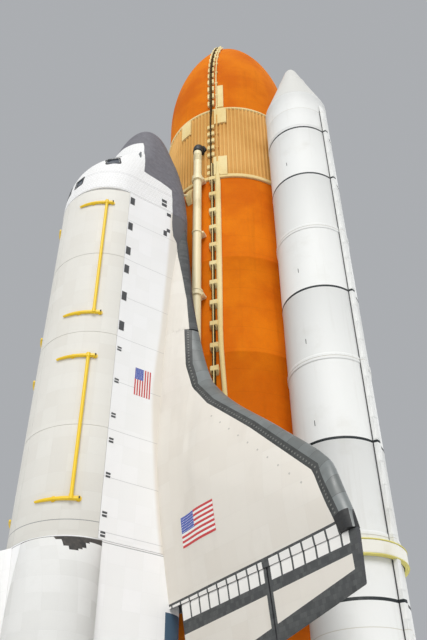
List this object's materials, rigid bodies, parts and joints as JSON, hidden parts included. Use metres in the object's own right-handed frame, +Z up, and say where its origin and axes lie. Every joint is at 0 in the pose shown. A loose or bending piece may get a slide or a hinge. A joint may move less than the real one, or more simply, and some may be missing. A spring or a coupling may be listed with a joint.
{
  "type": "space shuttle launch stack, 1:2 scale model",
  "caption": "Winged orbiter on a tall fuel tank flanked by solid rocket boosters, upright on the booster skirts, with moving bay doors, flaps, rudder, hatch and engines.",
  "frame": {"origin": "centre of the bounding box on the floor that the booster skirts stand on", "axes": "+Z up along the stack to the noses, +X to the orbiter's right-hand wing, +Y from the orbiter towards the tank, so the orbiter's back faces -Y"},
  "size_m": [11.7982, 11.7042, 27.319],
  "materials": {
    "tank_foam": "sprayed foam, orange, matt",
    "ribbed_foam": "sprayed foam over ribs, tan, matt",
    "cream_paint": "cream paint",
    "booster_paint": "white paint with near-black bands",
    "white_blanket": "quilted white blanket over the structure",
    "white_tile": "white tiles over the structure, dark tiles below",
    "dark_tile": "near-black tiles over the structure",
    "carbon_edge": "grey reinforced carbon",
    "yellow_steel": "yellow paint",
    "engine_metal": "heat-tinted metal",
    "bare_metal": "bare metal",
    "dark_glass": "dark tinted glass"
  },
  "bodies": {
    "stack": {"tank_oxygen_section": "tank_foam", "tank_intertank": "ribbed_foam", "tank_hydrogen_section": "tank_foam", "tank_cable_tray": "cream_paint", "tank_pressure_line": "cream_paint", "tank_feed_line": "cream_paint", "forward_bipod": "tank_foam", "aft_attach_frame": "tank_foam", "nose_cap": "carbon_edge", "forward_fuselage": "white_tile", "cabin_glass": "dark_glass", "mid_fuselage": "white_tile", "aft_fuselage": "white_tile", "fin": "white_blanket", "booster_right_nose": "booster_paint", "booster_right_forward_skirt": "booster_paint", "booster_right_motor": "booster_paint", "booster_right_attach_ring": "cream_paint", "booster_right_aft_skirt": "booster_paint", "booster_right_tunnel": "booster_paint", "pod_right": "white_blanket", "pod_engine_right": "engine_metal", "wing_right": "white_blanket", "wing_edge_right": "carbon_edge", "booster_left_nose": "booster_paint", "booster_left_forward_skirt": "booster_paint", "booster_left_motor": "booster_paint", "booster_left_attach_ring": "cream_paint", "booster_left_aft_skirt": "booster_paint", "booster_left_tunnel": "booster_paint", "pod_left": "white_blanket", "pod_engine_left": "engine_metal", "wing_left": "white_blanket", "wing_edge_left": "carbon_edge"},
    "bay_door_right": {"bay_door_right": "white_blanket", "handling_frame_right_1": "yellow_steel", "handling_frame_right_2": "yellow_steel"},
    "elevon_right_inboard": {"elevon_right_inboard": "white_tile"},
    "elevon_right_outboard": {"elevon_right_outboard": "white_tile"},
    "rudder_panel_right": {"rudder_panel_right": "white_tile"},
    "booster_right_nozzle_ring": {"booster_right_nozzle_ring": "bare_metal"},
    "booster_right_nozzle": {"booster_right_nozzle": "bare_metal"},
    "bay_door_left": {"bay_door_left": "white_blanket", "handling_frame_left_1": "yellow_steel", "handling_frame_left_2": "yellow_steel"},
    "elevon_left_inboard": {"elevon_left_inboard": "white_tile"},
    "elevon_left_outboard": {"elevon_left_outboard": "white_tile"},
    "rudder_panel_left": {"rudder_panel_left": "white_tile"},
    "booster_left_nozzle_ring": {"booster_left_nozzle_ring": "bare_metal"},
    "booster_left_nozzle": {"booster_left_nozzle": "bare_metal"},
    "engine_centre_gimbal": {"engine_centre_gimbal": "bare_metal"},
    "engine_centre": {"engine_centre": "engine_metal"},
    "engine_right_gimbal": {"engine_right_gimbal": "bare_metal"},
    "engine_right": {"engine_right": "engine_metal"},
    "engine_left_gimbal": {"engine_left_gimbal": "bare_metal"},
    "engine_left": {"engine_left": "engine_metal"},
    "rudder_shaft": {"rudder_shaft": "bare_metal"},
    "body_flap": {"body_flap": "dark_tile"},
    "crew_hatch": {"crew_hatch": "white_tile"}
  },
  "joints": [
    {"name": "bay_door_right_hinge", "type": "hinge", "parent": "stack", "child": "bay_door_right", "pos_m": [1.2827, -0.78478, 10.00887], "axis": [0, 0, 1], "range_deg": [0, 175.5]},
    {"name": "bay_door_left_hinge", "type": "hinge", "parent": "stack", "child": "bay_door_left", "pos_m": [-1.2827, -0.78478, 10.00887], "axis": [0, 0, -1], "range_deg": [0, 175.5]},
    {"name": "elevon_right_inboard_hinge", "type": "hinge", "parent": "stack", "child": "elevon_right_inboard", "pos_m": [2.81305, 0.88875, 4.38912], "axis": [0.9995, -0.032, 0], "range_deg": [-33.5, 18]},
    {"name": "elevon_right_outboard_hinge", "type": "hinge", "parent": "stack", "child": "elevon_right_outboard", "pos_m": [4.9403, 0.8167, 4.38912], "axis": [0.9994, -0.036, 0], "range_deg": [-33.5, 18]},
    {"name": "elevon_left_inboard_hinge", "type": "hinge", "parent": "stack", "child": "elevon_left_inboard", "pos_m": [-2.81305, 0.88875, 4.38912], "axis": [0.9995, 0.032, 0], "range_deg": [-33.5, 18]},
    {"name": "elevon_left_outboard_hinge", "type": "hinge", "parent": "stack", "child": "elevon_left_outboard", "pos_m": [-4.9403, 0.8167, 4.38912], "axis": [0.9994, 0.036, 0], "range_deg": [-33.5, 18]},
    {"name": "body_flap_hinge", "type": "hinge", "parent": "stack", "child": "body_flap", "pos_m": [0, 0.86622, 2.54762], "axis": [1, 0, 0], "range_deg": [-11.7, 22.5]},
    {"name": "rudder_hinge", "type": "hinge", "parent": "stack", "child": "rudder_shaft", "pos_m": [0, -4.20108, 2.10088], "axis": [0, -0.8209, -0.571], "range_deg": [-27.1, 27.1]},
    {"name": "speed_brake_right_hinge", "type": "hinge", "parent": "rudder_shaft", "child": "rudder_panel_right", "pos_m": [0, -4.20108, 2.10088], "axis": [0, -0.8209, -0.571], "range_deg": [0, 49.3]},
    {"name": "speed_brake_left_hinge", "type": "hinge", "parent": "rudder_shaft", "child": "rudder_panel_left", "pos_m": [0, -4.20108, 2.10088], "axis": [0, 0.8209, 0.571], "range_deg": [0, 49.3]},
    {"name": "engine_centre_pitch", "type": "hinge", "parent": "stack", "child": "engine_centre_gimbal", "pos_m": [0, -1.12006, 3.65252], "axis": [1, 0, 0], "range_deg": [-10.5, 10.5]},
    {"name": "engine_centre_yaw", "type": "hinge", "parent": "engine_centre_gimbal", "child": "engine_centre", "pos_m": [0, -1.12006, 3.65252], "axis": [0, -0.9613, 0.2756], "range_deg": [-8.5, 8.5]},
    {"name": "engine_right_pitch", "type": "hinge", "parent": "stack", "child": "engine_right_gimbal", "pos_m": [0.6731, 0.1601, 3.36042], "axis": [1, 0, 0], "range_deg": [-10.5, 10.5]},
    {"name": "engine_right_yaw", "type": "hinge", "parent": "engine_right_gimbal", "child": "engine_right", "pos_m": [0.6731, 0.1601, 3.36042], "axis": [0, -0.9848, 0.1736], "range_deg": [-8.5, 8.5]},
    {"name": "engine_left_pitch", "type": "hinge", "parent": "stack", "child": "engine_left_gimbal", "pos_m": [-0.6731, 0.1601, 3.36042], "axis": [1, 0, 0], "range_deg": [-10.5, 10.5]},
    {"name": "engine_left_yaw", "type": "hinge", "parent": "engine_left_gimbal", "child": "engine_left", "pos_m": [-0.6731, 0.1601, 3.36042], "axis": [0, -0.9848, 0.1736], "range_deg": [-8.5, 8.5]},
    {"name": "booster_right_nozzle_rock", "type": "hinge", "parent": "stack", "child": "booster_right_nozzle_ring", "pos_m": [3.18135, 3.70467, 0.89662], "axis": [0.7071, 0.7071, 0], "range_deg": [-5, 5]},
    {"name": "booster_right_nozzle_tilt", "type": "hinge", "parent": "booster_right_nozzle_ring", "child": "booster_right_nozzle", "pos_m": [3.18135, 3.70467, 0.89662], "axis": [0.7071, -0.7071, 0], "range_deg": [-5, 5]},
    {"name": "booster_left_nozzle_rock", "type": "hinge", "parent": "stack", "child": "booster_left_nozzle_ring", "pos_m": [-3.18135, 3.70467, 0.89662], "axis": [0.7071, 0.7071, 0], "range_deg": [-5, 5]},
    {"name": "booster_left_nozzle_tilt", "type": "hinge", "parent": "booster_left_nozzle_ring", "child": "booster_left_nozzle", "pos_m": [-3.18135, 3.70467, 0.89662], "axis": [0.7071, -0.7071, 0], "range_deg": [-5, 5]},
    {"name": "crew_hatch_hinge", "type": "hinge", "parent": "stack", "child": "crew_hatch", "pos_m": [-1.29032, 0.37727, 15.40002], "axis": [0, 0, -1], "range_deg": [0, 90]}
  ],
  "couplings": [
    {"joint": "speed_brake_left_hinge", "follows": "speed_brake_right_hinge", "ratio": 1}
  ]
}
